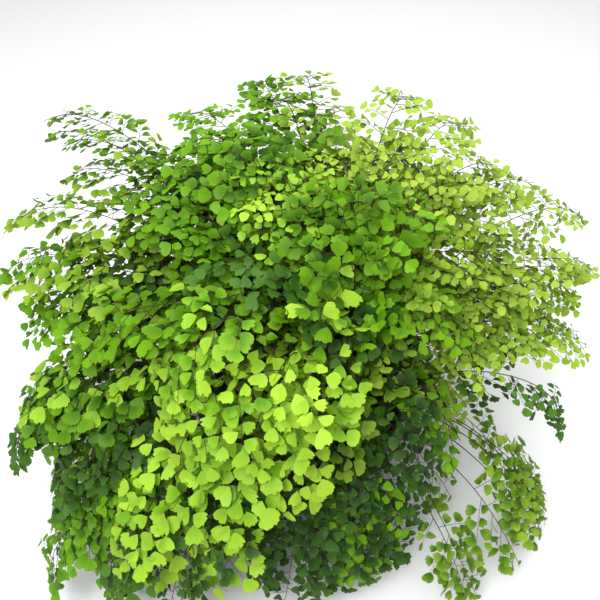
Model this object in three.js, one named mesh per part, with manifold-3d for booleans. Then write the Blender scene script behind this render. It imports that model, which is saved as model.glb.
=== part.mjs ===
// A potted maidenhair fern: a plain tapered pot, its soil, and a bush of arching fronds.
// Millimetres, +Z up. The origin is the middle of the pot's foot, on the surface it stands on.
import * as THREE from 'three';
import { mergeVertices } from 'three/addons/utils/BufferGeometryUtils.js';
import Module from 'manifold-3d';

const wasm = await Module();
wasm.setup();

// ---- driving dimensions ----
const POT_HEIGHT = 135;
const POT_FOOT_RADIUS = 56;
const POT_RIM_RADIUS = 80;
const POT_WALL = 5;
const POT_FLOOR = 8;
const RIM_BAND_HEIGHT = 20;
const RIM_BAND_STEP = 2.5;
const EDGE_ROUND = 2;
const POT_SIDES = 28;

const SOIL_TOP = 118;
const SOIL_MOUND = 3;
const GAP = 0.35;

const CROWN_RADIUS = 46;
const FOOT_SPACING = 7;
const STEM_RADIUS = 1.3;
const STEM_STEPS = 6;
const STEM_DEPTH = 18;
const STEM_STAND = 5;

const BLADE_THICKNESS = 0.9;
const BLADE_DROOP = 0.0032;
const LEAFLET_RADIUS = 23;
const LEAFLET_HALF_SPREAD = 36;
const CORNER_REACH = 0.95;
const MIDDLE_REACH = 1.08;
const FIRST_LEAFLETS = 0.8;
const LAST_LEAFLET = 1.25;
const STALK_HALF_WIDTH = 1.1;
const SIDE_LEAFLET_ANGLE = 76;
const PINNA_ANGLE = 58;
const SKYWARD = 0.4;
const LAST_PINNA = 50;
const LEAST_CLIMB = 60;
const LEAST_FALL = 40;
const LEAF_ROOT = 2;

// The step of a frond's stem that each pinna leaves, its side (0 goes straight on) and its size.
const PINNAE = [
  { step: 6, side: 0, size: 1 },
  { step: 5, side: 1, size: 0.92 },
  { step: 4, side: -1, size: 1 },
  { step: 3, side: 1, size: 1.05 },
];

// A pinna is bent up or down by these degrees, then grown smaller, until it clears its neighbours.
const BENDS = [0, -10, 10, -20, 20, -32, 32, -45];
const SHRINKS = [1, 0.85, 0.7];

// A stem's arch sways sideways by these millimetres until it clears the stems beside it.
const SWAYS = [0, 10, -10, 20, -20, 32, -32, 45, -45];

// Each group of fronds has its colour, its ends' slope below level in degrees, and the points in mm
// that its last leaflets reach.
const GROUPS = {
  front: {
    colour: 0x9ad02c, slope: 50,
    tips: [[-75, -130, 235], [-10, -110, 245], [-135, -120, 225], [-40, -150, 190], [-115, -160, 165],
      [-190, -175, 135], [-105, -185, 110], [-150, -80, 255], [15, -75, 255]],
  },
  left: {
    colour: 0x5f9f22, slope: 35,
    tips: [[-305, -50, 170], [-240, -15, 245], [-360, 165, 235], [-345, 90, 215], [-325, 55, 180]],
  },
  upper_left: {
    colour: 0x3c7a1d, slope: 25,
    tips: [[-325, 260, 310], [-290, 195, 285], [-210, 105, 300]],
  },
  top: {
    colour: 0x4c8a20, slope: 20,
    tips: [[-155, 250, 330], [-85, 290, 345], [-30, 295, 350], [10, 320, 300]],
  },
  crown: {
    colour: 0x68a825, slope: 15,
    tips: [[-95, 120, 335], [-35, 60, 335], [-5, -35, 320], [-130, 20, 315], [-155, -20, 290]],
  },
  right: {
    colour: 0x8cc62c, slope: 25,
    tips: [[90, 260, 340], [150, 240, 320], [290, 170, 250], [225, 170, 290], [295, 120, 220],
      [280, 40, 180], [170, 50, 290], [100, 70, 330], [35, 105, 340], [125, -15, 270]],
  },
  right_skirt: {
    colour: 0x3c7a1d, slope: 65,
    tips: [[250, -30, 110], [150, -20, 185]],
  },
  right_spray: {
    colour: 0x86bf2c, slope: 50,
    tips: [[230, -85, 60], [200, -140, 40], [140, -170, 32]],
  },
  front_skirt: {
    colour: 0x2f6a1a, slope: 70,
    tips: [[-330, -50, 90], [-265, -130, 70], [-220, -170, 45], [-45, -175, 34], [20, -165, 40],
      [70, -140, 50], [125, -75, 130], [85, -105, 145]],
  },
  back_skirt: {
    colour: 0x2f6a1a, slope: 65,
    tips: [[150, 200, 90], [30, 235, 60], [-110, 215, 80], [85, 275, 200], [-175, 235, 190]],
  },
};

const POT_COLOUR = 0x3a3c3d;
const SOIL_COLOUR = 0x2b1d14;

const UP = new THREE.Vector3(0, 0, 1);
const radians = THREE.MathUtils.degToRad;

/** A three.js geometry as a manifold solid. */
function solidOf(geometry) {
  const bare = geometry.index ? geometry.toNonIndexed() : geometry.clone();
  bare.deleteAttribute('normal');
  bare.deleteAttribute('uv');
  const merged = mergeVertices(bare, 1e-4);
  return meshSolid(merged.attributes.position.array, merged.index.array);
}

/** A solid from its corners and its triangles. */
function meshSolid(corners, triangles) {
  const vertProperties = Float32Array.from(corners);
  const triVerts = Uint32Array.from(triangles);
  return new wasm.Manifold(new wasm.Mesh({ numProp: 3, vertProperties, triVerts }));
}

/** A manifold solid as a named three.js mesh. */
function meshOf(solid, name, colour, roughness) {
  const { vertProperties, triVerts } = solid.getMesh();
  const geometry = new THREE.BufferGeometry();
  geometry.setAttribute('position', new THREE.BufferAttribute(new Float32Array(vertProperties), 3));
  geometry.setIndex([...triVerts]);
  geometry.computeVertexNormals();
  const material = new THREE.MeshStandardMaterial({ color: colour, roughness, metalness: 0 });
  const mesh = new THREE.Mesh(geometry, material);
  mesh.name = name;
  return mesh;
}

/** A profile of [radius, height] points turned round +Z. */
function turned(profile, sides) {
  const points = profile.map(([radius, height]) => new THREE.Vector2(radius, height));
  return new THREE.LatheGeometry(points, sides).rotateX(Math.PI / 2);
}

/** The pot's outer radius under its rim band at height z. */
function potRadius(z) {
  const taper = (POT_RIM_RADIUS - RIM_BAND_STEP - POT_FOOT_RADIUS) / POT_HEIGHT;
  return POT_FOOT_RADIUS + taper * z;
}

/** The pot: flat foot, tapered wall, a rim band, and the inside down to its floor. */
function pot() {
  const bandFoot = POT_HEIGHT - RIM_BAND_HEIGHT;
  const mouth = POT_RIM_RADIUS - POT_WALL;
  const profile = [
    [0, 0],
    [POT_FOOT_RADIUS - EDGE_ROUND, 0],
    [POT_FOOT_RADIUS, EDGE_ROUND],
    [potRadius(bandFoot), bandFoot],
    [POT_RIM_RADIUS, bandFoot],
    [POT_RIM_RADIUS, POT_HEIGHT - EDGE_ROUND / 2],
    [POT_RIM_RADIUS - EDGE_ROUND / 2, POT_HEIGHT],
    [mouth, POT_HEIGHT],
    [potRadius(POT_FLOOR) - POT_WALL, POT_FLOOR],
    [0, POT_FLOOR],
  ];
  return solidOf(turned(profile, POT_SIDES));
}

/** The inner radius of the pot at height z. */
function boreRadius(z) {
  const floorRadius = potRadius(POT_FLOOR) - POT_WALL;
  const mouth = POT_RIM_RADIUS - POT_WALL;
  return THREE.MathUtils.mapLinear(z, POT_FLOOR, POT_HEIGHT, floorRadius, mouth);
}

/** The soil, slightly mounded, with a plain hole for each stem. */
function soil(fronds) {
  const low = POT_FLOOR + GAP;
  const edge = SOIL_TOP - SOIL_MOUND;
  const profile = [
    [0, low],
    [boreRadius(low) - 2 * GAP, low],
    [boreRadius(edge) - 2 * GAP, edge],
    [CROWN_RADIUS * 1.2, SOIL_TOP],
    [0, SOIL_TOP],
  ];
  const holes = fronds.map(({ foot, side }) => {
    const floor = new THREE.Vector3(foot.x, foot.y, SOIL_TOP - STEM_DEPTH - GAP);
    const mouth = new THREE.Vector3(foot.x, foot.y, SOIL_TOP + STEM_STAND);
    return tube([floor, mouth], side, STEM_RADIUS + 2 * GAP);
  });
  return holes.reduce((body, hole) => body.subtract(hole), solidOf(turned(profile, POT_SIDES)));
}

/** A three-sided tube through the points of a stem that arches square to `side`. */
function tube(points, side, radius) {
  const corners = [];
  const triangles = [];
  const last = points.length - 1;
  points.forEach((point, i) => {
    const ahead = points[Math.min(i + 1, last)].clone().sub(points[Math.max(i - 1, 0)]).normalize();
    const face = new THREE.Vector3().crossVectors(side, ahead).normalize();
    for (const turn of [0, 120, 240]) {
      const spoke = face.clone().multiplyScalar(Math.cos(radians(turn)));
      spoke.addScaledVector(side, Math.sin(radians(turn)));
      corners.push(...point.clone().addScaledVector(spoke, radius).toArray());
    }
  });
  for (let ring = 0; ring < last; ring += 1) {
    for (let k = 0; k < 3; k += 1) {
      const a = 3 * ring + k;
      const b = 3 * ring + (k + 1) % 3;
      triangles.push(a, b, b + 3, a, b + 3, a + 3);
    }
  }
  triangles.push(0, 2, 1, 3 * last, 3 * last + 1, 3 * last + 2);
  return meshSolid(corners, triangles);
}

/** Every frond's name, colour, tip, foot in the crown, and curve. */
function planFronds() {
  const fronds = Object.entries(GROUPS).flatMap(([group, { colour, slope, tips }]) => (
    tips.map((tip, i) => ({
      name: `frond_${group}_${i + 1}`, colour, slope: radians(slope), tip: new THREE.Vector3(...tip),
    }))
  ));
  placeFeet(fronds);
  for (const frond of fronds) {
    frond.out = new THREE.Vector3(frond.tip.x - frond.foot.x, frond.tip.y - frond.foot.y, 0);
    frond.reach = frond.out.length();
    frond.out.normalize();
    frond.side = new THREE.Vector3().crossVectors(UP, frond.out);
  }
  return fronds;
}

/** Steep fronds stand in the middle of the crown, low ones round its edge, all clear of each other. */
function placeFeet(fronds) {
  const steepness = ({ tip }) => Math.atan2(tip.z - SOIL_TOP, Math.hypot(tip.x, tip.y));
  const ranked = [...fronds].sort((a, b) => steepness(b) - steepness(a));
  ranked.forEach((frond, rank) => {
    const radius = CROWN_RADIUS * Math.sqrt((rank + 0.5) / ranked.length);
    frond.foot = new THREE.Vector3(frond.tip.x, frond.tip.y, 0).setLength(radius);
    frond.foot.z = SOIL_TOP + STEM_STAND;
  });
  for (let round = 0; round < 60; round += 1) {
    for (const [i, { foot: a }] of fronds.entries()) {
      for (const { foot: b } of fronds.slice(0, i)) {
        const apart = a.clone().sub(b);
        const short = FOOT_SPACING - apart.length();
        if (short > 0) {
          apart.setLength(short / 2);
          a.add(apart);
          b.sub(apart);
        }
      }
    }
  }
}

/** The arch of a frond's stem and rib, from the soil to the root of its last leaflets. */
function arch({ foot, tip, out, side, reach, slope }, sway) {
  const back = out.clone().multiplyScalar(-Math.cos(slope)).addScaledVector(UP, Math.sin(slope));
  const end = tip.clone().addScaledVector(back, LAST_PINNA);
  const rise = Math.max(end.z - foot.z, 0);
  const climb = foot.clone().addScaledVector(UP, LEAST_CLIMB + 0.45 * rise + 0.08 * reach);
  climb.addScaledVector(out, 0.16 * reach).addScaledVector(side, sway);
  const fall = end.clone().addScaledVector(back, LEAST_FALL + 0.3 * foot.distanceTo(end));
  return new THREE.CubicBezierCurve3(foot, climb, fall, end).getSpacedPoints(STEM_STEPS);
}

/** The stem stands upright in its hole, then follows the frond's arch. */
function stem({ foot, side, points }, radius) {
  const root = foot.clone().addScaledVector(UP, -STEM_STAND - STEM_DEPTH);
  return tube([root, ...points], side, radius);
}

/** The outline of a leaflet: a fan from its neck, with a full outer margin. */
function leafletRim([u, v], heading, radius) {
  return [-1, 0, 1].map((place) => {
    const angle = radians(heading + place * LEAFLET_HALF_SPREAD);
    const reach = radius * (place ? CORNER_REACH : MIDDLE_REACH);
    return [u + reach * Math.cos(angle), v + reach * Math.sin(angle)];
  });
}

/** The outline of a pinna: three leaflets cut to the rib, which starts as a point inside the stem. */
function pinnaOutline(size) {
  const radius = LEAFLET_RADIUS * size;
  const neck = STALK_HALF_WIDTH;
  const first = FIRST_LEAFLETS * radius;
  const last = LAST_LEAFLET * radius;
  const lower = [
    [first - neck, -neck],
    ...leafletRim([first, -neck], -SIDE_LEAFLET_ANGLE, radius),
    [first + neck, -neck],
  ];
  const upper = lower.map(([u, v]) => [u, -v]).reverse();
  return [[0, 0], ...lower, ...leafletRim([last, 0], 0, radius), ...upper];
}

/** A thin arched blade over an outline, along `heading` from `root`, its upper face towards `sky`. */
function blade(outline, root, heading, sky, thickness) {
  const across = new THREE.Vector3().crossVectors(sky, heading).normalize();
  const normal = new THREE.Vector3().crossVectors(heading, across);
  const flat = outline.map(([u, v]) => new THREE.Vector2(u, v));
  const faces = THREE.ShapeUtils.triangulateShape(flat, []);
  const count = flat.length;
  const corners = [1, -1].flatMap((face) => flat.flatMap(({ x, y }) => {
    const lift = face * thickness / 2 - BLADE_DROOP * (x * x + y * y);
    const corner = root.clone().addScaledVector(heading, x).addScaledVector(across, y);
    return corner.addScaledVector(normal, lift).toArray();
  }));
  const triangles = faces.flatMap(([a, b, c]) => [a, b, c, a + count, c + count, b + count]);
  for (let i = 0; i < count; i += 1) {
    const j = (i + 1) % count;
    triangles.push(i + count, j + count, j, i + count, j, i);
  }
  return meshSolid(corners, triangles);
}

/** One pinna of a frond, bent up or down by `bend` degrees. */
function pinna(frond, { step, side, size }, bend, thickness) {
  const { points } = frond;
  const ahead = points[Math.min(step + 1, STEM_STEPS)].clone().sub(points[step - 1]).normalize();
  const root = points[step].clone().addScaledVector(ahead, side ? 0 : -LEAF_ROOT);
  const top = new THREE.Vector3().crossVectors(ahead, frond.side);
  const sky = top.clone().multiplyScalar(1 - SKYWARD).addScaledVector(UP, SKYWARD).normalize();
  const open = side * radians(PINNA_ANGLE);
  const level = ahead.clone().multiplyScalar(Math.cos(open)).addScaledVector(frond.side, Math.sin(open));
  const lift = sky.clone().addScaledVector(level, -sky.dot(level)).normalize();
  const heading = level.multiplyScalar(Math.cos(radians(bend)));
  heading.addScaledVector(lift, Math.sin(radians(bend))).normalize();
  return blade(pinnaOutline(size), root, heading, sky, thickness);
}

/** Whether two solids touch. */
function touches(a, b) {
  const one = a.boundingBox();
  const two = b.boundingBox();
  const apart = [0, 1, 2].some((i) => one.max[i] < two.min[i] || two.max[i] < one.min[i]);
  return !apart && !a.intersect(b).isEmpty();
}

/** The pinna at one place of a frond, bent and grown so that it clears everything in its way. */
function clearPinna(frond, place, inTheWay) {
  for (const shrink of SHRINKS) {
    const grown = { ...place, size: place.size * shrink };
    const bend = BENDS.find((angle) => {
      const guard = pinna(frond, grown, angle, BLADE_THICKNESS + 2 * GAP);
      return !inTheWay.some((solid) => touches(guard, solid));
    });
    if (bend !== undefined) return [pinna(frond, grown, bend, BLADE_THICKNESS)];
  }
  return [];
}

/** Arches a frond so that its stem clears everything in its way. */
function clearArch(frond, inTheWay) {
  SWAYS.find((sway) => {
    frond.points = arch(frond, sway);
    const guard = stem(frond, STEM_RADIUS + 2 * GAP);
    return !inTheWay.some((solid) => touches(guard, solid));
  });
}

/** The fronds' solids: each stem fused with its pinnae, clear of the pot, the soil and each other. */
function growFronds(fronds, fixed) {
  const stems = [];
  for (const frond of fronds) {
    clearArch(frond, [fixed[0], ...stems]);
    stems.push(stem(frond, STEM_RADIUS));
  }
  const leaves = fronds.map(() => []);
  for (const place of PINNAE) {
    fronds.forEach((frond, i) => {
      const otherStems = stems.filter((other, j) => j !== i);
      leaves[i].push(...clearPinna(frond, place, [...fixed, ...otherStems, ...leaves.flat()]));
    });
  }
  return fronds.map((frond, i) => leaves[i].reduce((body, leaf) => body.add(leaf), stems[i]));
}

const fronds = planFronds();
const potSolid = pot();
const soilSolid = soil(fronds);
const part = new THREE.Group();
part.add(meshOf(potSolid, 'pot', POT_COLOUR, 0.7));
part.add(meshOf(soilSolid, 'soil', SOIL_COLOUR, 0.95));
growFronds(fronds, [potSolid, soilSolid]).forEach((solid, i) => {
  part.add(meshOf(solid, fronds[i].name, fronds[i].colour, 0.5));
});

export default part;
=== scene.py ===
"""A potted maidenhair fern: fine fronds, soil and pot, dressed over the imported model.

Lengths are in millimetres and angles in degrees, but for the lights, the floor and the camera's place,
which are in metres. All draws are seeded, so each run gives the same plant.
"""
import math

import bpy
import numpy as np
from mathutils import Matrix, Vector

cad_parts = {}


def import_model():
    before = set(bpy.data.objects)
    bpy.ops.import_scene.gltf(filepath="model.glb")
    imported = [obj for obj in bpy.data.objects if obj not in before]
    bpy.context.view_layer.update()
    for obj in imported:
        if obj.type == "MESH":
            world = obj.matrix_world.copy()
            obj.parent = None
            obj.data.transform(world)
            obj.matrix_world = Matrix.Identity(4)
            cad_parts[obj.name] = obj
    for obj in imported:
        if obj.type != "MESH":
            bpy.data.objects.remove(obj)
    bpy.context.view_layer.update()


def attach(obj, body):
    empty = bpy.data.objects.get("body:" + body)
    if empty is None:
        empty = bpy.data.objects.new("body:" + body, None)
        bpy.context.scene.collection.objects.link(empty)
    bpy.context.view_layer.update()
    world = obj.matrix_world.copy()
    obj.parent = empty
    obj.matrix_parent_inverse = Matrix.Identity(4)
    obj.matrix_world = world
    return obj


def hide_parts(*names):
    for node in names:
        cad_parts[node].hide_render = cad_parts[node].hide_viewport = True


MM = 0.001
UP = np.array([0.0, 0.0, 1.0])
SEED = 251

# ---- the pot, the soil and where the fronds stand and end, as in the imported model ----
POT_HEIGHT = 135
POT_FOOT_RADIUS = 56
POT_RIM_RADIUS = 80
POT_WALL = 5
POT_FLOOR = 8
RIM_BAND_HEIGHT = 20
RIM_BAND_STEP = 2.5
SOIL_TOP = 118
SOIL_MOUND = 3
CROWN_RADIUS = 46
FOOT_SPACING = 7
FOOT_ROUNDS = 60
STEM_DEPTH = 18
STEM_STAND = 5
LAST_PINNA = 50
LEAST_CLIMB = 60
CLIMB_PER_RISE = 0.45
CLIMB_PER_SPAN = 0.08
CLIMB_OUT = 0.16
LEAST_FALL = 40
FALL_PER_WAY = 0.3

# ---- the fineness of the pot and the soil, and what lies on the soil ----
POT_SIDES = 128
CORNER_STEPS = 5
SOIL_RINGS = 34
SOIL_SIDES = 96
SOIL_GAP = 0.7
SOIL_LIFT = 0.4
SOIL_ROUGHNESS = 0.55
CLODS = 300
CLOD_REACH = 0.96
CLOD_SIZES = (0.8, 2.6)
CLOD_BANDS = 4
CLOD_SIDES = 7

# ---- the camera, where the photograph was taken from ----
PHOTO_WIDTH = 600
FOCAL_PIXELS = 560
SENSOR = 36
CAMERA_PLACE = (-0.030, -0.322, 0.648)
CAMERA_PITCH = 48

# What a frond is told:
#   slot     its material slot in the record, and its leaf colour
#   paint    another leaf colour, where its own isn't its slot's
#   slope    how far below level its end points
#   leaflet  the length of its leaflets
#   reach    the length of its longest pinna
#   young    how far its leaves lean from the mature to the young colour, 0 to 1
#   bare     the share of its stem that has no pinnae
#   pitch    the step from one leaflet to the next, as a share of a leaflet's length
#   flutter  how unevenly its leaflets face
#   roll     how unevenly its pinnae face
#   hang     the share of its pinnae that hang straight down
#   light    the way its leaves turn
#   margin   the steps along a leaflet's outer edge
#   plain    whether its leaflets have no stalk and no ring of points halfway out
#   under    the place of the inner frond's tip under it, as a share of its own; 0 for no inner frond
#   inner    the slot of that inner frond: leaf_yellow or leaf_dark; without it, leaf_yellow under a
#            frond that has this slot itself, and leaf_dark under all others
#   tips     the points that the last leaflets of its group reach
# A frond that isn't told one of these has this instead:
USUAL = dict(
    bare=0.38, pitch=0.56, flutter=0.17, roll=0.2, hang=0, light=(-0.08, -0.30, 0.95), margin=16,
    plain=False)

GROUPS = {
    "front": dict(
        slot="leaf_lime", slope=50, leaflet=11.2, reach=60, young=0.8, bare=0.5, pitch=0.54, margin=14,
        inner="leaf_yellow",
        tips=[(-75, -130, 235), (-10, -110, 245), (-135, -120, 225), (-40, -150, 190), (-115, -160, 165),
              (-190, -175, 135), (-105, -185, 110), (-150, -80, 255), (15, -75, 255)]),
    "left": dict(
        slot="leaf_green", slope=35, leaflet=11, reach=64, young=0.5, light=(-0.1, 0.0, 1.0),
        tips=[(-305, -50, 170), (-240, -15, 245), (-360, 165, 235), (-345, 90, 215), (-325, 55, 180)]),
    "upper_left": dict(
        slot="leaf_dark", slope=25, leaflet=9.8, reach=60, young=0.85, light=(-0.1, 0.45, 0.88),
        tips=[(-325, 260, 310), (-290, 195, 285), (-210, 105, 300)]),
    "top": dict(
        slot="leaf_green", slope=20, leaflet=10, reach=64, young=0.4,
        tips=[(-155, 250, 330), (-85, 290, 345), (-30, 295, 350), (10, 320, 300)]),
    "crown": dict(
        slot="leaf_green", slope=15, leaflet=10.6, reach=66, young=0.3,
        tips=[(-95, 120, 335), (-35, 60, 335), (-5, -35, 320), (-130, 20, 315), (-155, -20, 290)]),
    "right": dict(
        slot="leaf_yellow", slope=25, leaflet=7.7, reach=66, young=0.56, flutter=0.4, roll=0.35, under=0.86,
        margin=12,
        tips=[(90, 260, 340), (150, 240, 320), (290, 170, 250), (225, 170, 290), (295, 120, 220),
              (280, 40, 180), (170, 50, 290), (100, 70, 330), (35, 105, 340), (125, -15, 270)]),
    # The skirts hang under the bush: their dark leaf colour is partly painted shade.
    "right_skirt": dict(
        slot="leaf_dark", slope=65, leaflet=7.8, reach=46, young=0.7, hang=0.5, under=0,
        tips=[(250, -30, 110), (150, -20, 185)]),
    "right_spray": dict(
        slot="leaf_yellow", slope=50, leaflet=9.5, reach=44, young=0.0, pitch=0.6, bare=0.58, flutter=0.35,
        under=0,
        tips=[(230, -85, 60), (200, -140, 40), (140, -170, 32)]),
    # Partly painted shade: this skirt's dark leaf colour stands for the shadow under the front of the bush.
    "front_skirt": dict(
        slot="leaf_dark", slope=70, leaflet=10, reach=66, young=0.3,
        tips=[(-330, -50, 90), (-265, -130, 70), (-220, -170, 45), (-45, -175, 34), (20, -165, 40),
              (70, -140, 50), (125, -75, 130), (85, -105, 145)]),
    # Partly painted shade: this skirt's dark leaf colour stands for the shadow under the back of the bush.
    "back_skirt": dict(
        slot="leaf_dark", slope=65, leaflet=8.8, reach=62, young=0.3,
        tips=[(150, 200, 90), (30, 235, 60), (-110, 215, 80), (85, 275, 200), (-175, 235, 190)]),
}

# The fronds whose stems sway sideways by some mm to pass a neighbour's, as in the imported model.
SWAYS = {"frond_crown_3": 10, "frond_right_9": 10}

# ---- how a frond is built; the sag and the curl bend a pinna by this times its length squared ----
RIB_STEPS = 46
CURVE_POINTS = 200
TAIL_POINTS = 24
TAIL_START = 0.04
TAIL_SAG = 7
LAST_LEAFLET = 12
WOBBLE = 3.0
WOBBLE_TURNS = 9
STEM_SIDES = 6
STEM_RADII = (0.95, 0.3)
PINNA_SPACING = 12.5
SPACING_RANGE = (0.8, 1.2)
LAST_SPACING = 0.6
PINNA_ANGLE = 56
PINNA_SCATTER = 7
PINNA_TILT = 0.14
PINNA_DROOP = 0.8
PINNA_STEP = 9
REACH_RANGE = (0.8, 1.14)
FIRST_REACH = 0.6
REACH_GAIN = 2.2
PINNA_SAG = 1 / 380
PINNA_CURL = 1 / 420
RIB_SIDES = 3
RIB_RADIUS = 0.34
FORK_RADIUS = 0.25
RIB_END_RADIUS = 0.18
FORKED_FROM = 40
FORKED_SHARE = 0.45
FORK_LENGTHS = (1.3, 2.1)
FORK_GAP = 1.6
TAPER = 0.6
TIP_SHRINK = 0.15
LIGHTWARD = 0.6
TINT_GAIN = 0.2
MOTTLE = 0.22

# ---- how a leaflet is built ----
# A spread is half the angle of its fan, a ring a share of its length. The two radii are those of a
# stalk's ends, and the folds are a mean and a deviation. All other pairs are the least and the most that
# may be drawn, but for the lobes, of which there are two to four.
STALK = 3.2
STALK_RANGE = (0.4, 0.9)
STALK_RADII = (0.17, 0.15)
LEAFLET_ANGLE = 54
LEAFLET_SCATTER = 8
LEAFLET_DROOPS = (-0.05, 0.3)
LEAFLET_SIZES = (0.90, 1.22)
SIDE_SPREADS = (33, 47)
END_SPREADS = (40, 54)
LONE_SPREADS = (44, 58)
TIP_SPREAD = 50
LOBES = (2, 5)
LOBE_SHIFT = 0.2
CLEFTS = (0.04, 0.20)
TOOTH = 0.06
SKEW = 0.26
CUPS = (-0.010, 0.020)
FOLDS = (0.10, 0.16)
RUFFLES = (0.01, 0.06)
RUFFLE_WAVES = 5
WEDGE_BULGE = 0.45
RINGS = (0.55, 1.0)

# What single fronds are told that the rest of their group isn't.
VARIANTS = {
    "frond_front_1": dict(bare=0.6),
    "frond_front_2": dict(bare=0.64, reach=34, young=0.55),
    "frond_front_3": dict(bare=0.62),
    "frond_front_4": dict(leaflet=12.8, reach=52),
    "frond_front_5": dict(leaflet=12.8, young=0.55, inner="leaf_dark"),
    "frond_front_6": dict(leaflet=12.4, reach=52, young=0.65, inner="leaf_dark"),
    "frond_front_7": dict(leaflet=12.8, bare=0.62, reach=38, young=0.55, inner="leaf_dark"),
    "frond_front_8": dict(young=0.35, bare=0.64, reach=52),
    # Painted shade: front_9 takes the dark leaf colour for the shadowed hollow it stands in.
    "frond_front_9": dict(paint="leaf_dark", bare=0.72, reach=26, young=0.4),
    "frond_left_1": dict(young=0.45, leaflet=13, pitch=0.66, bare=0.5),
    "frond_left_2": dict(young=0.6, leaflet=12),
    "frond_left_3": dict(paint="leaf_yellow", young=0.4, reach=52, light=(-0.1, 0.35, 0.93)),
    "frond_left_4": dict(paint="leaf_yellow", young=0.6, leaflet=12),
    "frond_left_5": dict(young=0.75),
    "frond_upper_left_1": dict(paint="leaf_yellow", young=0.2, reach=34, leaflet=8.8, pitch=0.44, bare=0.3),
    "frond_upper_left_2": dict(paint="leaf_yellow", young=0.15, reach=52, pitch=0.48, under=0.85),
    "frond_upper_left_3": dict(paint="leaf_green", young=0.4, reach=72, bare=0.3),
    "frond_top_1": dict(young=0.85, leaflet=8.6, reach=78, bare=0.26, under=0.9),
    "frond_top_2": dict(reach=50, leaflet=9),
    # top_3 and top_4 take the paler copy of leaf_yellow: painted haze light from the bright backdrop.
    "frond_top_3": dict(paint="leaf_pale_painted_haze", young=0.45, reach=42, leaflet=9, light=(0.0, 0.4, 0.9)),
    "frond_top_4": dict(
        paint="leaf_pale_painted_haze", young=0.5, reach=30, leaflet=9, bare=0.46, light=(0.0, 0.4, 0.9)),
    "frond_crown_1": dict(paint="leaf_lime", young=0.45, leaflet=7.6, bare=0.6),
    "frond_crown_2": dict(young=0.45, bare=0.56),
    "frond_crown_3": dict(young=0.6, leaflet=12),
    "frond_crown_4": dict(paint="leaf_dark", young=0.6),
    "frond_crown_5": dict(young=0.3),
    # Painted haze light: right_1 to right_5 take the paler copy of leaf_yellow.
    "frond_right_1": dict(paint="leaf_pale_painted_haze", reach=48, bare=0.34, young=0.85),
    "frond_right_2": dict(paint="leaf_pale_painted_haze", reach=64, bare=0.3, young=0.8),
    "frond_right_3": dict(paint="leaf_pale_painted_haze", hang=0.3, bare=0.34),
    "frond_right_4": dict(paint="leaf_pale_painted_haze", hang=0.25, bare=0.3, reach=70),
    "frond_right_5": dict(paint="leaf_pale_painted_haze", hang=0.25, young=0.85),
    "frond_right_6": dict(young=0.9),
    # The inner fronds of right_8 and right_10 take the dark leaf colour as painted shade, for the shadowed
    # gap between the right side and the front.
    "frond_right_8": dict(paint="leaf_green", young=0.7, leaflet=9.5, inner="leaf_dark"),
    "frond_right_9": dict(paint="leaf_green", young=0.35, leaflet=9.5),
    "frond_right_10": dict(paint="leaf_green", young=0.7, leaflet=10, inner="leaf_dark"),
    "frond_right_skirt_2": dict(paint="leaf_yellow", young=0.85),
    "frond_right_spray_3": dict(reach=34),
    "frond_front_skirt_1": dict(young=0.7),
    "frond_front_skirt_2": dict(paint="leaf_green", young=0.4),
    "frond_front_skirt_3": dict(young=0.65),
    # The low young values of front_skirt_4, 5, 6 and 8 paint the shade under the front of the bush.
    "frond_front_skirt_4": dict(young=0.15),
    "frond_front_skirt_5": dict(young=0.15),
    "frond_front_skirt_6": dict(under=0, young=0.15, reach=44),
    "frond_front_skirt_7": dict(paint="leaf_green", under=0, reach=30),
    "frond_front_skirt_8": dict(under=0, young=0.1, reach=32),
}

# The fronds inside the bush, one for each outer frond: the shares of its place that their tips and feet
# take, how far they are turned about the pot's axis, in radians, and what they are told.
INNER_REACH = 0.70
INNER_HEIGHT = 0.84
SKIRT_REACH = 0.88
INNER_TURN = 0.22
INNER_FOOT = 0.6
# The inner fronds' dark leaf colour and low young value are partly painted shade: the shadow inside the bush.
INNER_FACTS = dict(
    slot="leaf_dark", leaflet=10.5, young=0.15, bare=0.28, roll=0.3, reach=64, plain=True, margin=11)
INNER_YELLOW = dict(slot="leaf_yellow", young=0.27)

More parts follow.
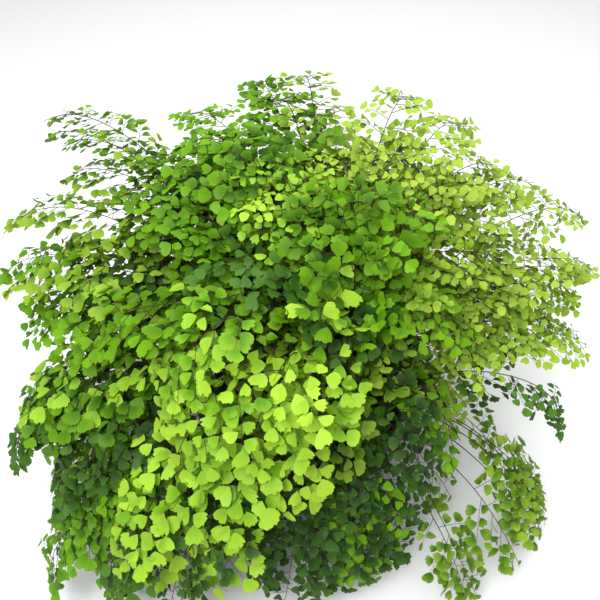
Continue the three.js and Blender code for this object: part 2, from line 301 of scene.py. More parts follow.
# More slender fronds, each group of them one piece: they fill out the edge of the bush and its layers, and
# some are bright sprays at its front and left. Their feet stand on a ring in the crown.
OUTER_FOOT = 36
OUTER_GROUPS = {
    "outer_fronds_low": dict(
        slot="leaf_green", slope=68, leaflet=9.5, reach=58, young=0.62, margin=10,
        tips=[(-283, -130, 38), (-298, -58, 62), (-232, -158, 42), (-330, -15, 95), (-152, -165, 45),
              (40, -160, 45), (-285, -158, 32), (-325, -45, 85)]),
    "outer_fronds_green": dict(
        slot="leaf_green", slope=30, leaflet=10, reach=56, young=0.42, margin=10,
        tips=[(-345, 95, 185), (-130, 170, 335), (-175, 140, 315), (-223, 142, 295), (-190, 105, 290),
              (-286, 50, 205), (-153, 186, 328), (-60, 262, 332), (-188, 192, 305), (-335, 72, 185),
              (-187, -31, 215), (-358, 112, 218)]),
    "outer_fronds_lime": dict(
        slot="leaf_lime", slope=25, leaflet=7.6, reach=40, young=0.6, bare=0.68, flutter=0.4, margin=10,
        tips=[(-92, 152, 335), (-82, 112, 332), (-112, 100, 328), (-60, 160, 335)]),
    # Painted haze light: these fronds take the paler copy of leaf_yellow, for the bright backdrop's haze over
    # them.
    "outer_fronds_yellow": dict(
        slot="leaf_yellow", paint="leaf_pale_painted_haze", slope=25, leaflet=7.9, reach=54, young=0.72, flutter=0.4,
        roll=0.35, margin=10,
        tips=[(165, 186, 280), (150, 130, 318), (93, 186, 330), (186, 195, 298), (258, 72, 165),
              (285, 90, 190), (21, 175, 325), (150, -8, 160), (146, -28, 150), (275, 96, 228),
              (17, 205, 328)]),
    "outer_fronds_front": dict(
        slot="leaf_lime", slope=60, leaflet=13, reach=30, young=0.9, bare=0.72, pitch=0.6, margin=16,
        tips=[(-145, -165, 92), (-180, -168, 78), (-4, -15, 275), (10, -36, 262), (-32, -33, 275)]),
    "outer_fronds_left": dict(
        slot="leaf_lime", slope=35, leaflet=13.5, reach=40, young=0.45, bare=0.7, pitch=0.62, margin=16,
        light=(-0.1, 0.0, 1.0),
        tips=[(-308, -35, 175), (-255, -47, 190), (-208, -30, 225), (-156, -22, 250), (-168, -53, 240)]),
    "outer_fronds_arch": dict(
        slot="leaf_green", slope=25, leaflet=8.5, reach=26, young=0.3, bare=0.45, margin=10,
        light=(-0.1, 0.45, 0.88),
        tips=[(-333, 268, 286), (-302, 232, 298)]),
    "outer_fronds_spray": dict(
        slot="leaf_yellow", slope=50, leaflet=9.5, reach=36, young=0.05, bare=0.66, flutter=0.35, margin=10,
        tips=[(240, -75, 48), (228, -115, 42), (150, -172, 34), (139, -76, 50), (202, -28, 60),
              (238, -98, 45)]),
}

# The sprouts that fill the crown between the tall stems: how many, the turn from each to the next, in
# radians, how far out their feet and tips lie, how high their tips are, and what they are told.
SPROUTS = 34
GOLDEN_TURN = math.radians(137.5)
SPROUT_FEET = (20, 52)
SPROUT_TIPS = (92, 150)
SPROUT_HEIGHTS = (120, 205)
# The sprouts' dark leaf colour and low young value are partly painted shade, for the shadowed crown over the
# rim.
SPROUT_FACTS = dict(
    slot="leaf_dark", slope=30, leaflet=9.5, reach=44, young=0.15, bare=0.2, roll=0.3, plain=True, margin=11)

# From one outer group to the next, the first of the numbers that seed its fronds' draws rises by this.
# A group of more fronds than that shares its last numbers with the next group's first ones.
NUMBERS_APART = 10

# The leaf colours, linear: a mature and a young one each.
LEAF_COLOURS = {
    "leaf_lime": ((0.075, 0.240, 0.003), (0.350, 0.575, 0.040)),
    "leaf_yellow": ((0.036, 0.125, 0.004), (0.305, 0.470, 0.036)),
    # This paler, greyer copy of leaf_yellow is painted light: the haze of the bright backdrop over the outer
    # fronds at the top and the right.
    "leaf_pale_painted_haze": ((0.045, 0.132, 0.007), (0.345, 0.500, 0.050)),
    "leaf_green": ((0.022, 0.080, 0.002), (0.150, 0.350, 0.008)),
    # This darker green is partly the leaves' own and partly painted shade, for the fronds inside and under
    # the bush that lie in shadow.
    "leaf_dark": ((0.011, 0.038, 0.005), (0.067, 0.170, 0.018)),
}

# How much paler a leaflet's edge is and how much darker its veins are, and what share of the light goes
# through the blade.
EDGE_PALENESS = 0.34
EDGE_LIGHTER = 1.18
VEIN_WAVE = 75.0
VEIN_DARKNESS = 0.13
VEIN_DARKER = 0.45
LEAF_GLOW = 0.22

# ---- the floor and the lights, in metres and watts ----
FLOOR_HALF = 4.0
FLOOR_COLOUR = (0.78, 0.78, 0.78)
SKY_COLOUR = (0.95, 0.98, 1.0)
SKY_STRENGTH = 0.32
AIM = (0, 0, 0.2)
LAMPS = {
    "key": dict(place=(-0.5, -0.7, 1.7), size=0.8, power=30),
    "overhead": dict(place=(0.2, 0.6, 2.6), size=2.6, power=75),
}

# ---- the least height of a frond's points, and the numbers of its two materials ----
FLOOR_CLEAR = 2.0
LEAF = 0
STEM = 1


def unit(v):
    """A vector, or each row of an array of them, at length one."""
    return v / np.maximum(np.linalg.norm(v, axis=-1, keepdims=True), 1e-9)


def mix(a, b, t):
    return a + (b - a) * t


def turned_about(point, angle):
    """A point turned about the pot's axis by an angle in radians."""
    x, y, z = point
    cosine, sine = math.cos(angle), math.sin(angle)
    return np.array([x * cosine - y * sine, x * sine + y * cosine, z])


# ---- meshes ----

class Builder:
    """Gathers points, faces, UVs, tints and material numbers for one mesh."""

    def __init__(self, floor=FLOOR_CLEAR):
        self.floor = floor
        self.points = []
        self.faces = []
        self.uvs = []
        self.tints = []
        self.slots = []
        self.count = 0

    def add(self, points, faces, uvs, tint, slot):
        """Points are (n, 3), faces (m, 3) or (m, 4), UVs (n, 2), tint one number or (n,)."""
        self.points.append(points)
        self.faces.extend((faces + self.count).tolist())
        self.uvs.append(uvs)
        self.tints.append(np.broadcast_to(tint, (len(points),)))
        self.slots.extend([slot] * len(faces))
        self.count += len(points)

    def more(self, faces, count, slot):
        """More faces on the last count points that were added."""
        self.faces.extend((faces + self.count - count).tolist())
        self.slots.extend([slot] * len(faces))

    def join(self, other):
        """Take in all that another builder has gathered."""
        self.points += other.points
        self.uvs += other.uvs
        self.tints += other.tints
        self.slots += other.slots
        self.faces += [[corner + self.count for corner in face] for face in other.faces]
        self.count += other.count

    def piece(self, name, materials):
        """The gathered mesh as a smooth-shaded object, in metres, with no point below the floor given."""
        points = np.concatenate(self.points)
        points[:, 2] = np.maximum(points[:, 2], self.floor)
        mesh = bpy.data.meshes.new(name)
        mesh.from_pydata((points * MM).tolist(), [], self.faces)
        loops = np.empty(len(mesh.loops), dtype=np.int32)
        mesh.loops.foreach_get("vertex_index", loops)
        uv = mesh.uv_layers.new(name="UVMap")
        uv.data.foreach_set("uv", np.concatenate(self.uvs)[loops].astype(np.float32).ravel())
        tint = mesh.attributes.new("tint", "FLOAT", "POINT")
        tint.data.foreach_set("value", np.concatenate(self.tints).astype(np.float32))
        mesh.polygons.foreach_set("material_index", np.array(self.slots, dtype=np.int32))
        mesh.polygons.foreach_set("use_smooth", np.ones(len(mesh.polygons), dtype=bool))
        for material in materials:
            mesh.materials.append(material)
        mesh.update()
        return placed(name, mesh)


def placed(name, data):
    """A new object of a mesh, light or camera, at the origin of the scene."""
    obj = bpy.data.objects.new(name, data)
    bpy.context.scene.collection.objects.link(obj)
    return obj


def circle(sides):
    """The angles of points evenly round a circle, in radians."""
    return np.arange(sides) * 2 * math.pi / sides


def band_quads(rings, sides):
    """The quads between rings of points that lie one after another."""
    ring, k = np.meshgrid(np.arange(rings - 1), np.arange(sides), indexing="ij")
    a = ring * sides + k
    b = ring * sides + (k + 1) % sides
    return np.stack([a, a + sides, b + sides, b], axis=-1).reshape(-1, 4)


def band_uvs(rings, sides):
    """UVs for the same rings: round them, then from the first to the last."""
    grid = np.meshgrid(circle(sides) / (2 * math.pi), np.linspace(0, 1, rings))
    return np.stack(grid, axis=-1).reshape(-1, 2)


def tube(builder, path, radii, sides):
    """A stem-coloured round tube along a path, with a flat cap at both ends."""
    ahead = unit(np.gradient(path, axis=0))
    side = unit(np.cross(ahead, np.array([0.31, 0.17, 0.93])))
    face = np.cross(side, ahead)
    turns = circle(sides)
    spokes = face[:, None] * np.cos(turns)[:, None] + side[:, None] * np.sin(turns)[:, None]
    rings = path[:, None] + spokes * np.asarray(radii)[:, None, None]
    count = len(path)
    builder.add(rings.reshape(-1, 3), band_quads(count, sides), band_uvs(count, sides), 0.5, STEM)
    caps = np.stack([np.arange(sides)[::-1], np.arange(sides) + (count - 1) * sides])
    builder.more(caps, count * sides, STEM)


# ---- where the fronds stand and how they arch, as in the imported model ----

def plan_fronds():
    """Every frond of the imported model: what it is told, with its node, its tip, its foot and its number."""
    fronds = []
    for group, facts in GROUPS.items():
        for i, tip in enumerate(facts["tips"]):
            name = f"frond_{group}_{i + 1}"
            own = {"node": name, "tip": np.array(tip, dtype=float)}
            fronds.append({**facts, **VARIANTS.get(name, {}), **own})
    place_feet(fronds)
    return [aimed(frond, number) for number, frond in enumerate(fronds)]


def aimed(frond, number):
    """The frond with what is usual, the level way from its foot to its tip, and the number of its draws."""
    level = (frond["tip"] - frond["foot"]) * (1, 1, 0)
    out = unit(level)
    way = {"number": number, "span": np.linalg.norm(level), "out": out, "side": np.cross(UP, out)}
    return {**USUAL, **frond, **way}


def place_feet(fronds):
    """Steep fronds stand in the middle of the crown, low ones round its edge, all clear of each other."""
    def steepness(frond):
        x, y, z = frond["tip"]
        return math.atan2(z - SOIL_TOP, math.hypot(x, y))

    ranked = sorted(fronds, key=steepness, reverse=True)
    for rank, frond in enumerate(ranked):
        radius = CROWN_RADIUS * math.sqrt((rank + 0.5) / len(ranked))
        frond["foot"] = unit(frond["tip"] * (1, 1, 0)) * radius + UP * (SOIL_TOP + STEM_STAND)
    for _ in range(FOOT_ROUNDS):
        for i, one in enumerate(fronds):
            for other in fronds[:i]:
                apart = one["foot"] - other["foot"]
                short = FOOT_SPACING - np.linalg.norm(apart)
                if short > 0:
                    step = unit(apart) * short / 2
                    one["foot"] = one["foot"] + step
                    other["foot"] = other["foot"] - step


def rib_path(frond, rng):
    """The stem and rib from the soil to the frond's last leaflets, in even steps, and its length.

    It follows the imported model's stem to where that one ends, and from there sags on towards the tip.
    """
    foot, tip, out, span = frond["foot"], frond["tip"], frond["out"], frond["span"]
    slope = math.radians(frond["slope"])
    back = UP * math.sin(slope) - out * math.cos(slope)
    end = tip + back * LAST_PINNA
    rise = max(end[2] - foot[2], 0)
    height = LEAST_CLIMB + CLIMB_PER_RISE * rise + CLIMB_PER_SPAN * span
    climb = foot + UP * height + out * CLIMB_OUT * span
    climb = climb + frond["side"] * SWAYS.get(frond["node"], 0)
    fall = end + back * (LEAST_FALL + FALL_PER_WAY * np.linalg.norm(end - foot))
    t = np.linspace(0, 1, CURVE_POINTS)[:, None]
    curve = (1 - t) ** 3 * foot + 3 * (1 - t) ** 2 * t * climb + 3 * (1 - t) * t * t * fall + t ** 3 * end
    tail = np.linspace(TAIL_START, 1, TAIL_POINTS)[:, None]
    sag = UP * -TAIL_SAG * tail ** 2
    curve = np.concatenate([curve, end - back * (LAST_PINNA - LAST_LEAFLET) * tail + sag])
    steps = np.linalg.norm(np.diff(curve, axis=0), axis=1)
    walked = np.concatenate([[0], np.cumsum(steps)])
    even = np.linspace(0, walked[-1], RIB_STEPS + 1)
    path = np.stack([np.interp(even, walked, curve[:, i]) for i in range(3)], axis=1)
    share = even / walked[-1]
    wave = np.sin(share * WOBBLE_TURNS + rng.uniform(0, 6.3))
    wobble = wave * share * (1 - 0.5 * share) * WOBBLE
    path += frond["side"] * wobble[:, None]
    return path, walked[-1]


# ---- fronds ----

def along(path, walked, s):
    """The point that lies s mm along a path, and the direction of the path there."""
    ends = [np.array([np.interp(d, walked, path[:, k]) for k in range(3)]) for d in (s - 2, s, s + 2)]
    return ends[1], unit(ends[2] - ends[0])


class Frond:
    """One frond: a black wiry stem and ribs, with fan-shaped leaflets left and right in turn."""

    def __init__(self, facts):
        self.facts = facts
        self.rng = np.random.default_rng(SEED + facts["number"])
        self.builder = Builder()
        self.leaflets = []

    def leaflet(self, root, heading, sky, size, spread, tint):
        """A leaflet on its hair-thin stalk; the blades are all shaped later, by blades()."""
        base = root
        if not self.facts["plain"]:
            base = root + heading * STALK * self.rng.uniform(*STALK_RANGE)
            tube(self.builder, np.stack([root, base]), STALK_RADII, RIB_SIDES)
        sky = unit(sky + self.rng.normal(0, self.facts["flutter"], 3))
        heading = unit(heading - UP * self.rng.uniform(*LEAFLET_DROOPS))
        facts = [size * self.rng.uniform(*LEAFLET_SIZES), spread, np.clip(tint, 0, 1)]
        self.leaflets.append(np.concatenate([base, heading, sky, facts]))

    def pinna(self, root, heading, sky, reach, size, tint, forks):
        """A sagging rib of leaflets; if it forks, the nearest to its root are small pinnae instead."""
        rng = self.rng
        pitch = self.facts["pitch"]
        side = unit(np.cross(sky, heading))
        walked = np.linspace(0, reach, max(3, int(reach / PINNA_STEP)) + 1)
        bow = walked[:, None] ** 2
        path = root + heading * walked[:, None] - UP * bow * PINNA_SAG
        path = path + side * bow * rng.uniform(-1, 1) * PINNA_CURL
        radii = np.linspace(RIB_RADIUS if forks else FORK_RADIUS, RIB_END_RADIUS, len(path))
        tube(self.builder, path, radii, RIB_SIDES)
        hand = 1 if rng.random() < 0.5 else -1
        s = reach - size * pitch * 0.9
        while s > STALK:
            here, ahead = along(path, walked, s)
            angle = math.radians(LEAFLET_ANGLE + rng.normal(0, LEAFLET_SCATTER))
            direction = ahead * math.cos(angle) + side * math.sin(angle) * hand
            shade = tint + TINT_GAIN * (s / reach - 0.5) + rng.normal(0, MOTTLE)
            if forks and reach > FORKED_FROM and s < reach * FORKED_SHARE:
                self.pinna(here, direction, sky, size * rng.uniform(*FORK_LENGTHS), size, shade, False)
                s -= size * pitch * FORK_GAP
            else:
                self.leaflet(here, direction, sky, size, rng.uniform(*SIDE_SPREADS), shade)
                s -= size * pitch
            hand = -hand
        _, ahead = along(path, walked, reach - 2)
        self.leaflet(path[-1], ahead, sky, size * 1.05, rng.uniform(*END_SPREADS), tint + 0.15)

    def pinna_pose(self, ahead, light, hand):
        """Where a pinna heads and where its upper side faces, where the stem runs `ahead`."""
        facts, rng = self.facts, self.rng
        sky = unit(mix(np.cross(ahead, facts["side"]), light, LIGHTWARD))
        sky = unit(sky + rng.normal(0, facts["roll"], 3))
        angle = math.radians(PINNA_ANGLE + rng.normal(0, PINNA_SCATTER))
        heading = ahead * math.cos(angle) + facts["side"] * math.sin(angle) * hand
        heading = unit(heading + UP * rng.normal(0, PINNA_TILT))
        if rng.random() < facts["hang"]:
            heading = unit(mix(heading, -UP, PINNA_DROOP))
            sky = unit(rng.normal(0, 1, 3) * (1, 1, 0.2))
        return heading, sky

    def grow(self):
        """The stem, then the pinnae along the upper part of it, shorter towards its end."""
        facts, rng = self.facts, self.rng
        path, length = rib_path(facts, rng)
        root = facts["foot"] - UP * (STEM_STAND + STEM_DEPTH)
        stem = np.concatenate([root[None], path])
        tube(self.builder, stem, mix(*STEM_RADII, np.linspace(0, 1, len(stem)) ** 0.6), STEM_SIDES)
        walked = np.linspace(0, length, RIB_STEPS + 1)
        bare = length * facts["bare"]
        light = unit(np.array(facts["light"]))
        hand = 1 if facts["number"] % 2 else -1
        s = bare + rng.uniform(0, 8)
        while s < length - 6:
            q = (s - bare) / (length - bare)
            here, ahead = along(path, walked, s)
            heading, sky = self.pinna_pose(ahead, light, hand)
            reach = facts["reach"] * min(1.0, FIRST_REACH + REACH_GAIN * q) * (1 - q) ** TAPER
            reach = reach * rng.uniform(*REACH_RANGE)
            tint = facts["young"] + TINT_GAIN * (q - 0.5) + rng.normal(0, MOTTLE)
            size = facts["leaflet"] * (1 - TIP_SHRINK * q * q)
            if reach < size * 1.2:
                self.leaflet(here, heading, sky, size, rng.uniform(*LONE_SPREADS), tint + 0.1)
            else:
                self.pinna(here, heading, sky, reach, size, tint, True)
            hand = -hand
            s += PINNA_SPACING * rng.uniform(*SPACING_RANGE) * mix(1, LAST_SPACING, q)
        self.leaflet(path[-1], ahead, sky, facts["leaflet"] * 0.8, TIP_SPREAD, facts["young"] + 0.2)

    def rims(self, length, place):
        """How far out each leaflet's edge lies, from one side of it to the other: lobed, toothed, uneven."""
        rng = self.rng
        one_each = (len(length), 1)
        lobes = rng.integers(*LOBES, one_each)
        depth = rng.uniform(*CLEFTS, one_each)
        turns = lobes * (place + rng.uniform(-LOBE_SHIFT, LOBE_SHIFT, one_each))
        clefts = depth * np.abs(np.cos(turns * math.pi / 2)) ** 8
        teeth = TOOTH * (np.arange(len(place)) % 2) * (1 - place ** 4)
        rounding = 1 - 0.03 * place ** 2 - 0.24 * np.abs(place) ** 6
        skew = 1 + rng.uniform(-SKEW, SKEW, one_each) * place
        return length * rounding * skew * (1 - clefts - teeth)

    def blades(self):
        """Every leaflet's blade at once: a wedge with a rounded, lobed outer edge, cupped and ruffled."""
        rng = self.rng
        rows = np.array(self.leaflets)
        one_each = (len(rows), 1)
        base, heading, sky = rows[:, None, 0:3], rows[:, None, 3:6], rows[:, None, 6:9]
        length, spread, tint = rows[:, 9:10], np.radians(rows[:, 10:11]), rows[:, 11]
        across = unit(np.cross(sky, heading))
        normal = np.cross(heading, across)
        place = np.linspace(-1, 1, self.facts["margin"] + 1)
        rim = self.rims(length, place)
        angle = spread * place
        cup = rng.uniform(*CUPS, one_each)
        fold = rng.normal(*FOLDS, one_each)
        ruffle = rng.uniform(*RUFFLES, one_each) * length
        phase = rng.uniform(0, 2 * math.pi, one_each)
        waves = np.sin(angle * RUFFLE_WAVES + phase)
        shares = RINGS[-1:] if self.facts["plain"] else RINGS
        rings = [base]
        for share in shares:
            bulge = 1 + WEDGE_BULGE * (1 - share)
            u = share * rim * np.cos(angle * bulge)
            v = share * rim * np.sin(angle * bulge)
            lift = fold * np.abs(v) - cup * (u * u + v * v) + ruffle * share ** 2 * waves
            rings.append(base + u[..., None] * heading + v[..., None] * across + lift[..., None] * normal)
        points = np.concatenate(rings, axis=1)
        wide, each = len(place), points.shape[1]
        first = (np.arange(len(rows)) * each)[:, None, None]
        inner = np.arange(1, wide)
        fan = np.stack([np.zeros_like(inner), inner, inner + 1], axis=-1)
        flat_u = np.concatenate([[0.5]] + [(place + 1) / 2] * len(shares))
        flat_v = np.concatenate([[0.0]] + [np.full(wide, share) for share in shares])
        uvs = np.tile(np.stack([flat_u, flat_v], axis=-1), one_each)
        tints = np.repeat(tint, each)
        self.builder.add(points.reshape(-1, 3), (fan + first).reshape(-1, 3), uvs, tints, LEAF)
        if len(shares) > 1:
            band = np.stack([inner, inner + wide, inner + wide + 1, inner + 1], axis=-1)
            self.builder.more((band + first).reshape(-1, 4), len(points) * each, LEAF)


def frond_piece(name, plans, materials):
    """One piece of one or more fronds."""
    whole = Builder()
    for plan in plans:
        frond = Frond(plan)
        frond.grow()
        frond.blades()
        whole.join(frond.builder)
    return whole.piece(name, materials)


def inner_plans(plans):
    """A plainer frond inside the bush for each outer one that isn't told to have none.

    It stands shorter and lower than an arching frond, and beside one that hangs as a skirt.
    """
    inner = []
    for i, plan in enumerate(plans):
        turn = INNER_TURN if i % 2 else -INNER_TURN
        skirt = "skirt" in plan["node"]
        reach = plan.get("under", SKIRT_REACH if skirt else INNER_REACH)
        if not reach:
            continue
        tip = turned_about(plan["tip"] * (reach, reach, 1.0 if skirt else INNER_HEIGHT), turn)
        foot = turned_about(plan["foot"], turn) * (INNER_FOOT, INNER_FOOT, 1)
        facts = {**INNER_FACTS, "slope": plan["slope"], "node": "inner", "tip": tip, "foot": foot}
        if plan.get("inner", plan["slot"]) == "leaf_yellow":
            facts.update(INNER_YELLOW, leaflet=plan["leaflet"])
        elif skirt:
            facts["leaflet"] = plan["leaflet"]
        inner.append(aimed(facts, len(plans) + i))
    return inner


def sprout_plans(first):
    """Short fronds all round the crown, arching out over the rim."""
    rng = np.random.default_rng(SEED)
    plans = []
    for i in range(SPROUTS):
        out = turned_about((1.0, 0.0, 0.0), i * GOLDEN_TURN)
        foot = out * rng.uniform(*SPROUT_FEET) + UP * (SOIL_TOP + STEM_STAND)
        tip = out * rng.uniform(*SPROUT_TIPS) + UP * rng.uniform(*SPROUT_HEIGHTS)
        plans.append(aimed({**SPROUT_FACTS, "node": "sprout", "foot": foot, "tip": tip}, first + i))
    return plans


def outer_plans(facts, first):
    """The slender fronds of one outer group, their feet on a ring in the crown."""
    plans = []
    for i, tip in enumerate(facts["tips"]):
        tip = np.array(tip, dtype=float)
        foot = unit(tip * (1, 1, 0)) * OUTER_FOOT + UP * (SOIL_TOP + STEM_STAND)
        plans.append(aimed({**facts, "node": "outer", "foot": foot, "tip": tip}, first + i))
    return plans


# ---- materials ----

def new_material(name):
    material = bpy.data.materials.new(name)
    material.use_nodes = True
    tree = material.node_tree
    tree.nodes.clear()
    output = tree.nodes.new("ShaderNodeOutputMaterial")
    shader = tree.nodes.new("ShaderNodeBsdfPrincipled")
    tree.links.new(shader.outputs[0], output.inputs[0])
    return material, tree, shader, output


def node(tree, kind, **settings):
    """A new shader node, each setting given to its input of that name, or else to its property."""
    made = tree.nodes.new(kind)
    for key, value in settings.items():
        if key in made.inputs:
            made.inputs[key].default_value = value
        else:
            setattr(made, key, value)
    return made


def toned(colour, factor=1):
    """A colour with its alpha, lighter or darker by a factor."""
    return (*[c * factor for c in colour], 1)


def texture(tree, kind, **settings):
    """A texture laid over the object's own coordinates."""
    made = node(tree, kind, **settings)
    place = node(tree, "ShaderNodeTexCoord")
    tree.links.new(place.outputs["Object"], made.inputs["Vector"])
    return made


def remap(tree, source, span=(0, 1), to=(0, 1), **settings):
    """A number carried from one span to another."""
    made = node(tree, "ShaderNodeMapRange", **settings)
    for names, ends in ((("From Min", "From Max"), span), (("To Min", "To Max"), to)):
        for name, end in zip(names, ends):
            made.inputs[name].default_value = end
    tree.links.new(source, made.inputs["Value"])
    return made.outputs[0]


def mixed(tree, share, first, second):
    """Two colours mixed by a share; each of the three is another node's output, or fixed."""
    made = node(tree, "ShaderNodeMix", data_type="RGBA")
    for socket, source in ((0, share), (6, first), (7, second)):
        if isinstance(source, bpy.types.NodeSocket):
            tree.links.new(source, made.inputs[socket])
        else:
            made.inputs[socket].default_value = source
    return made.outputs[2]


def ramp(tree, source, dark, light, stops=(0, 1)):
    """A number turned into a colour between a dark and a light one."""
    made = node(tree, "ShaderNodeValToRGB")
    for element, colour, stop in zip(made.color_ramp.elements, (dark, light), stops):
        element.color = toned(colour)
        element.position = stop
    tree.links.new(source, made.inputs[0])
    return made.outputs[0]


def roughen(tree, shader, height, strength, distance):
    """Fine relief on a shader's surface; the distance is in metres."""
    bump = node(tree, "ShaderNodeBump", Strength=strength, Distance=distance)
    tree.links.new(height, bump.inputs["Height"])
    tree.links.new(bump.outputs[0], shader.inputs["Normal"])


def leaf_material(name):
    """Mature to young green by each leaflet's tint, a paler margin, fan veins, light through the blade."""
    mature, young = LEAF_COLOURS[name]
    material, tree, shader, output = new_material(name)
    links = tree.links
    tint = node(tree, "ShaderNodeAttribute", attribute_name="tint")
    green = mixed(tree, tint.outputs["Fac"], toned(mature), toned(young))

    uv = node(tree, "ShaderNodeUVMap", uv_map="UVMap")
    across_out = node(tree, "ShaderNodeSeparateXYZ")
    links.new(uv.outputs[0], across_out.inputs[0])
    outward = across_out.outputs[1]
    edge = remap(tree, outward, (0.25, 1), (0, EDGE_PALENESS), interpolation_type="SMOOTHSTEP")
    edged = mixed(tree, edge, green, toned(young, EDGE_LIGHTER))

    fan = node(tree, "ShaderNodeMath", operation="MULTIPLY")
    fan.inputs[1].default_value = VEIN_WAVE
    links.new(across_out.outputs[0], fan.inputs[0])
    wave = node(tree, "ShaderNodeMath", operation="SINE")
    links.new(fan.outputs[0], wave.inputs[0])
    vein = remap(tree, wave.outputs[0], (0.55, 1), (0, VEIN_DARKNESS))
    links.new(mixed(tree, vein, edged, toned(mature, VEIN_DARKER)), shader.inputs["Base Color"])
    roughen(tree, shader, wave.outputs[0], 0.16, 0.0002)

    grain = texture(tree, "ShaderNodeTexNoise", Scale=420.0, Detail=2.0)
    links.new(remap(tree, grain.outputs[0], to=(0.38, 0.58)), shader.inputs["Roughness"])
    shader.inputs["Specular IOR Level"].default_value = 0.14

    glow = node(tree, "ShaderNodeBsdfTranslucent")
    links.new(mixed(tree, 0.5, green, toned(young)), glow.inputs["Color"])
    both = node(tree, "ShaderNodeMixShader")
    both.inputs[0].default_value = LEAF_GLOW
    links.new(shader.outputs[0], both.inputs[1])
    links.new(glow.outputs[0], both.inputs[2])
    links.new(both.outputs[0], output.inputs[0])
    return material


def stem_material():
    """Black-brown and glossy, like polished wire, with reddish stretches."""
    material, tree, shader, _ = new_material("stem")
    noise = texture(tree, "ShaderNodeTexNoise", Scale=60.0, Detail=3.0)
    colour = ramp(tree, noise.outputs[0], (0.006, 0.004, 0.003), (0.045, 0.018, 0.008), (0.4, 0.75))
    tree.links.new(colour, shader.inputs["Base Color"])
    shader.inputs["Roughness"].default_value = 0.42
    shader.inputs["Specular IOR Level"].default_value = 0.3
    return material


def pot_material():
    """Matte charcoal glaze with soft clouds and fine pale speckle."""
    material, tree, shader, _ = new_material("pot")
    cloud = texture(tree, "ShaderNodeTexNoise", Scale=14.0, Detail=6.0).outputs[0]
    speck = texture(tree, "ShaderNodeTexVoronoi", Scale=620.0).outputs["Distance"]
    glaze = ramp(tree, cloud, (0.030, 0.031, 0.033), (0.062, 0.064, 0.067))
    spotted = mixed(tree, remap(tree, speck, (0.16, 0.10)), glaze, toned((0.12, 0.115, 0.105)))
    tree.links.new(spotted, shader.inputs["Base Color"])
    tree.links.new(remap(tree, cloud, to=(0.5, 0.72)), shader.inputs["Roughness"])
    roughen(tree, shader, cloud, 0.2, 0.0004)
    return material


def soil_material():
    """Dark damp peat, with lighter fibres."""
    material, tree, shader, _ = new_material("soil")
    noise = texture(tree, "ShaderNodeTexNoise", Scale=190.0, Detail=8.0, Roughness=0.7).outputs[0]
    colour = ramp(tree, noise, (0.008, 0.005, 0.003), (0.070, 0.042, 0.024), (0.35, 0.75))
    tree.links.new(colour, shader.inputs["Base Color"])
    shader.inputs["Roughness"].default_value = 0.92
    roughen(tree, shader, noise, 0.8, 0.001)
    return material


# ---- the pot and the soil ----

def pot_radius(z):
    """The pot's outer radius under its rim band at height z."""
    taper = (POT_RIM_RADIUS - RIM_BAND_STEP - POT_FOOT_RADIUS) / POT_HEIGHT
    return POT_FOOT_RADIUS + taper * z


def rounded(corners):
    """An outline of (radius, height, bend), each corner with a bend turned into an arc that wide."""
    points = []
    for i, (x, z, bend) in enumerate(corners):
        here = np.array([x, z], dtype=float)
        if not bend:
            points.append(here)
            continue
        before = here + unit(np.array(corners[i - 1][:2]) - here) * bend
        after = here + unit(np.array(corners[i + 1][:2]) - here) * bend
        for t in np.linspace(0, 1, CORNER_STEPS + 1):
            points.append((1 - t) ** 2 * before + 2 * t * (1 - t) * here + t * t * after)
    return np.array(points)


def turned(builder, outline, sides):
    """An outline of [radius, height] turned round +Z, its ends on the axis."""
    turns = circle(sides)
    radius = np.maximum(outline[:, 0], 0.01)[:, None]
    height = np.broadcast_to(outline[:, 1][:, None], (len(outline), sides))
    points = np.stack([radius * np.cos(turns), radius * np.sin(turns), height], axis=-1)
    quads = band_quads(len(outline), sides)[:, [0, 3, 2, 1]]
    builder.add(points.reshape(-1, 3), quads, band_uvs(len(outline), sides), 0.5, 0)


def pot_piece(material):
    """The pot, turned fine, with soft edges."""
    band = POT_HEIGHT - RIM_BAND_HEIGHT
    mouth = POT_RIM_RADIUS - POT_WALL
    outline = rounded([
        (0, 0, 0), (POT_FOOT_RADIUS, 0, 2.2), (pot_radius(band), band, 0.8), (POT_RIM_RADIUS, band, 1.2),
        (POT_RIM_RADIUS, POT_HEIGHT, 1.8), (mouth, POT_HEIGHT, 1.8),
        (pot_radius(POT_FLOOR) - POT_WALL, POT_FLOOR, 3), (0, POT_FLOOR, 0)])
    builder = Builder(floor=0)
    turned(builder, outline, POT_SIDES)
    return builder.piece("pot_turned", [material])


def clod(builder, rng, place, size):
    """A rough lump of peat or bark: a coarse ball, squashed and dented."""
    bands, around = CLOD_BANDS, CLOD_SIDES
    polar = np.linspace(0.12, math.pi - 0.12, bands)
    p, t = np.meshgrid(polar, circle(around) + rng.uniform(0, 6), indexing="ij")
    ball = np.stack([np.sin(p) * np.cos(t), np.sin(p) * np.sin(t), np.cos(p)], axis=-1).reshape(-1, 3)
    ball *= rng.uniform(0.75, 1.2, (len(ball), 1)) * size * rng.uniform(0.6, 1.2, 3)
    builder.add(place + ball, band_quads(bands, around), np.zeros((len(ball), 2)), rng.random(), 0)
    caps = np.stack([np.arange(around), np.arange(around)[::-1] + (bands - 1) * around])
    builder.more(caps, len(ball), 0)


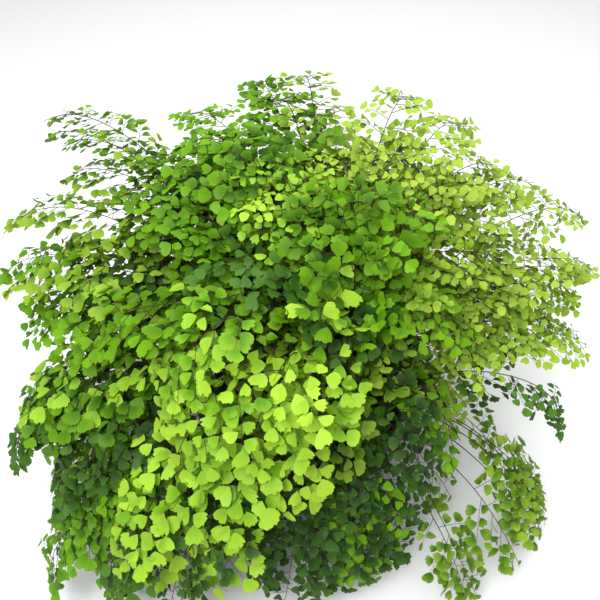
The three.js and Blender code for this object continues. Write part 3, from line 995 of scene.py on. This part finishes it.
def soil_piece(material):
    """Moist peat, heaped a little in the middle, with clods and crumbs on it."""
    rng = np.random.default_rng(SEED)
    edge = pot_radius(SOIL_TOP - SOIL_MOUND) - POT_WALL - SOIL_GAP
    low = pot_radius(POT_FLOOR) - POT_WALL - SOIL_GAP
    foot = POT_FLOOR + SOIL_LIFT

    def height(radius):
        return SOIL_TOP - SOIL_MOUND * (radius / edge) ** 2

    radius = np.linspace(0, edge, SOIL_RINGS)
    mound = np.stack([radius, height(radius)], axis=-1)[::-1]
    outline = np.concatenate([[[0, foot], [low, foot]], mound])
    builder = Builder(floor=0)
    turned(builder, outline, SOIL_SIDES)
    # The two lower rings, the mound's edge and its middle stay smooth; the rest is made uneven.
    rings = builder.points[0].reshape(len(outline), SOIL_SIDES, 3)
    rings[3:-1, :, 2] += rng.normal(0, SOIL_ROUGHNESS, (len(outline) - 4, SOIL_SIDES))
    for _ in range(CLODS):
        far = edge * math.sqrt(rng.random()) * CLOD_REACH
        turn = rng.uniform(0, 2 * math.pi)
        place = np.array([far * math.cos(turn), far * math.sin(turn), height(far)])
        clod(builder, rng, place, rng.uniform(*CLOD_SIZES))
    return builder.piece("soil_crumbly", [material])


# ---- the studio ----

def studio():
    """A pale floor, a soft key light from the upper left front, fill from all round, and the camera."""
    mesh = bpy.data.meshes.new("floor")
    corners = [(x * FLOOR_HALF, y * FLOOR_HALF, 0) for x, y in ((-1, -1), (1, -1), (1, 1), (-1, 1))]
    mesh.from_pydata(corners, [], [(0, 1, 2, 3)])
    floor = placed("floor", mesh)
    material, _, shader, _ = new_material("floor")
    shader.inputs["Base Color"].default_value = toned(FLOOR_COLOUR)
    shader.inputs["Roughness"].default_value = 0.8
    mesh.materials.append(material)

    world = bpy.data.worlds.new("studio")
    world.use_nodes = True
    background = world.node_tree.nodes["Background"]
    background.inputs[0].default_value = toned(SKY_COLOUR)
    background.inputs[1].default_value = SKY_STRENGTH
    bpy.context.scene.world = world

    for name, facts in LAMPS.items():
        light = bpy.data.lights.new(name, "AREA")
        light.size = facts["size"]
        light.energy = facts["power"]
        lamp = placed(name, light)
        lamp.location = facts["place"]
        lamp.rotation_euler = (Vector(AIM) - Vector(facts["place"])).to_track_quat("-Z", "Y").to_euler()

    lens = bpy.data.cameras.new("camera")
    lens.lens = FOCAL_PIXELS * SENSOR / PHOTO_WIDTH
    lens.sensor_width = SENSOR
    camera = placed("camera", lens)
    camera.location = CAMERA_PLACE
    camera.rotation_euler = (math.radians(90 - CAMERA_PITCH), 0, 0)
    bpy.context.scene.camera = camera
    bpy.context.scene.view_settings.view_transform = "Standard"


def finer_plans(plans):
    """The fronds that only this scene has, by the name of the piece that they make."""
    inner = inner_plans(plans)
    finer = {
        "inner_fronds_dark": [plan for plan in inner if plan["slot"] == "leaf_dark"],
        "inner_fronds_yellow": [plan for plan in inner if plan["slot"] == "leaf_yellow"],
        "crown_sprouts": sprout_plans(2 * len(plans)),
    }
    for name, facts in OUTER_GROUPS.items():
        finer[name] = outer_plans(facts, 2 * len(plans) + SPROUTS + NUMBERS_APART * len(finer))
    return finer


def main():
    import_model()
    stem = stem_material()
    leaf = {name: leaf_material(name) for name in LEAF_COLOURS}
    plans = plan_fronds()
    for plan in plans:
        piece = frond_piece(plan["node"] + "_fine", [plan], [leaf[plan.get("paint", plan["slot"])], stem])
        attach(piece, "root")
        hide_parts(plan["node"])
    for name, fillers in finer_plans(plans).items():
        facts = fillers[0]
        piece = frond_piece(name, fillers, [leaf[facts.get("paint", facts["slot"])], stem])
        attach(piece, "root")
    for piece, place in ((pot_piece(pot_material()), "pot"), (soil_piece(soil_material()), "soil")):
        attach(piece, "root")
        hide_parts(place)
    studio()


main()
